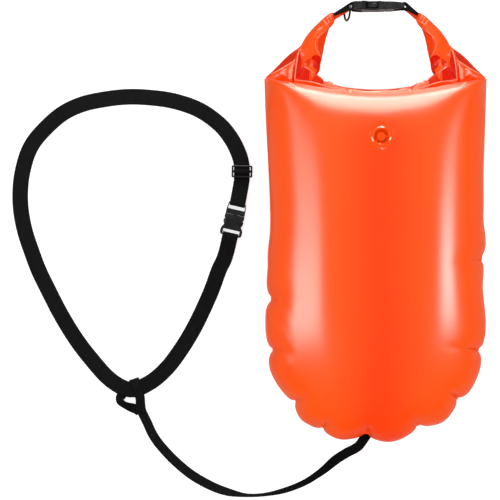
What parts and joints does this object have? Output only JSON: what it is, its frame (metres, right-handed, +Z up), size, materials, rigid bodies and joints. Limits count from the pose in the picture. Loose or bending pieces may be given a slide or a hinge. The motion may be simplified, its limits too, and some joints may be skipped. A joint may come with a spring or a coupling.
{
  "type": "open water swim buoy",
  "caption": "Inflated dry bag buoy with rolled top clipped into a carry handle, oral valves, waist belt and leash.",
  "frame": {"origin": "the middle of the floor under the bag's own box, which reaches from its foot seam to its handle buckle", "axes": "+Z up from the back that the bag lies on towards its front face, +Y from the foot towards the roll top handle, +X to the right seen from the front"},
  "size_m": [0.7426, 0.7744, 0.17],
  "materials": {
    "orange_film": "glossy coated PVC film",
    "orange_valve": "soft translucent PVC",
    "liner_film": "matt PVC film",
    "stiffener_plastic": "matt sheet plastic",
    "black_webbing": "woven matt webbing",
    "black_plastic": "satin moulded plastic"
  },
  "bodies": {
    "bag": {"front_chamber": "orange_film", "back_chamber": "orange_film", "left_collar_arm": "orange_film", "collar_roll": "orange_film", "right_collar_arm": "orange_film", "left_neck_fold": "orange_film", "right_neck_fold": "orange_film", "front_valve_flange": "orange_valve", "back_valve_flange": "orange_valve", "front_liner_film": "liner_film", "back_liner_film": "liner_film", "stiffener_strip": "stiffener_plastic", "left_tab_webbing": "black_webbing", "belt_webbing": "black_webbing", "belt_sewn_end": "black_webbing", "leash_webbing": "black_webbing", "leash_loop": "black_webbing", "leash_sewn_end": "black_webbing", "handle_buckle_socket": "black_plastic", "waist_buckle_socket": "black_plastic"},
    "front_stem": {"front_valve_stem": "orange_valve", "front_valve_tether": "orange_valve"},
    "back_stem": {"back_valve_stem": "orange_valve", "back_valve_tether": "orange_valve"},
    "front_plug": {"front_valve_plug": "orange_valve"},
    "back_plug": {"back_valve_plug": "orange_valve"},
    "front_flap": {"front_valve_flap": "orange_valve"},
    "back_flap": {"back_valve_flap": "orange_valve"},
    "handle_plug": {"handle_buckle_plug": "black_plastic", "right_tab_webbing": "black_webbing"},
    "handle_left_prong": {"handle_prong_left": "black_plastic"},
    "handle_right_prong": {"handle_prong_right": "black_plastic"},
    "ring": {"accessory_ring": "black_plastic"},
    "waist_plug": {"waist_buckle_plug": "black_plastic", "belt_adjust_fold": "black_webbing"},
    "waist_left_prong": {"waist_prong_left": "black_plastic"},
    "waist_right_prong": {"waist_prong_right": "black_plastic"},
    "slider": {"belt_slider": "black_plastic"}
  },
  "joints": [
    {"name": "front_stem_pull", "type": "slide", "parent": "bag", "child": "front_stem", "axis": [0, 0, 1], "range_m": [0, 0.0088]},
    {"name": "front_plug_pull", "type": "slide", "parent": "front_stem", "child": "front_plug", "axis": [0, 0, 1], "range_m": [0, 0.008], "deforming": ["front_valve_tether"]},
    {"name": "front_check_flap", "type": "hinge", "parent": "front_stem", "child": "front_flap", "pos_m": [-0.0004, 0.1285, 0.146], "axis": [0, 1, 0], "range_deg": [0, 40], "stiffness_Nm_per_rad": 0.0002},
    {"name": "back_stem_pull", "type": "slide", "parent": "bag", "child": "back_stem", "axis": [0, 0, -1], "range_m": [0, 0.0088]},
    {"name": "back_plug_pull", "type": "slide", "parent": "back_stem", "child": "back_plug", "axis": [0, 0, -1], "range_m": [0, 0.008], "deforming": ["back_valve_tether"]},
    {"name": "back_check_flap", "type": "hinge", "parent": "back_stem", "child": "back_flap", "pos_m": [-0.0004, 0.1285, 0.024], "axis": [0, -1, 0], "range_deg": [0, 40], "stiffness_Nm_per_rad": 0.0002},
    {"name": "handle_buckle_release", "type": "slide", "parent": "bag", "child": "handle_plug", "axis": [1, 0, 0], "range_m": [0, 0.0319], "deforming": ["right_collar_arm", "stiffener_strip", "handle_prong_left", "handle_prong_right"]},
    {"name": "handle_prong_left_squeeze", "type": "hinge", "parent": "handle_plug", "child": "handle_left_prong", "pos_m": [0.01499, 0.33328, 0.07265], "axis": [0, 1, 0], "range_deg": [0, 12], "stiffness_Nm_per_rad": 0.3},
    {"name": "handle_prong_right_squeeze", "type": "hinge", "parent": "handle_plug", "child": "handle_right_prong", "pos_m": [0.01499, 0.33328, 0.09735], "axis": [0, -1, 0], "range_deg": [0, 12], "stiffness_Nm_per_rad": 0.3},
    {"name": "accessory_ring_swing", "type": "hinge", "parent": "bag", "child": "ring", "pos_m": [-0.04391, 0.33053, 0.085], "axis": [0.1575, 0.0731, 0.9848], "range_deg": [-28, 24]},
    {"name": "waist_buckle_release", "type": "slide", "parent": "bag", "child": "waist_plug", "axis": [0.225, 0.9744, 0], "range_m": [0, 0.021], "deforming": ["belt_webbing", "waist_prong_left", "waist_prong_right"]},
    {"name": "waist_prong_left_squeeze", "type": "hinge", "parent": "waist_plug", "child": "waist_left_prong", "pos_m": [-0.2262, 0.01293, 0.0052], "axis": [0, 0, 1], "range_deg": [0, 12], "stiffness_Nm_per_rad": 0.3},
    {"name": "waist_prong_right_squeeze", "type": "hinge", "parent": "waist_plug", "child": "waist_right_prong", "pos_m": [-0.21036, 0.00928, 0.0052], "axis": [0, 0, -1], "range_deg": [0, 12], "stiffness_Nm_per_rad": 0.3},
    {"name": "belt_slider_slide", "type": "slide", "parent": "waist_plug", "child": "slider", "axis": [0.0174, 0.9998, 0], "range_m": [-0.008, 0.008], "deforming": ["belt_webbing", "belt_adjust_fold"]}
  ]
}
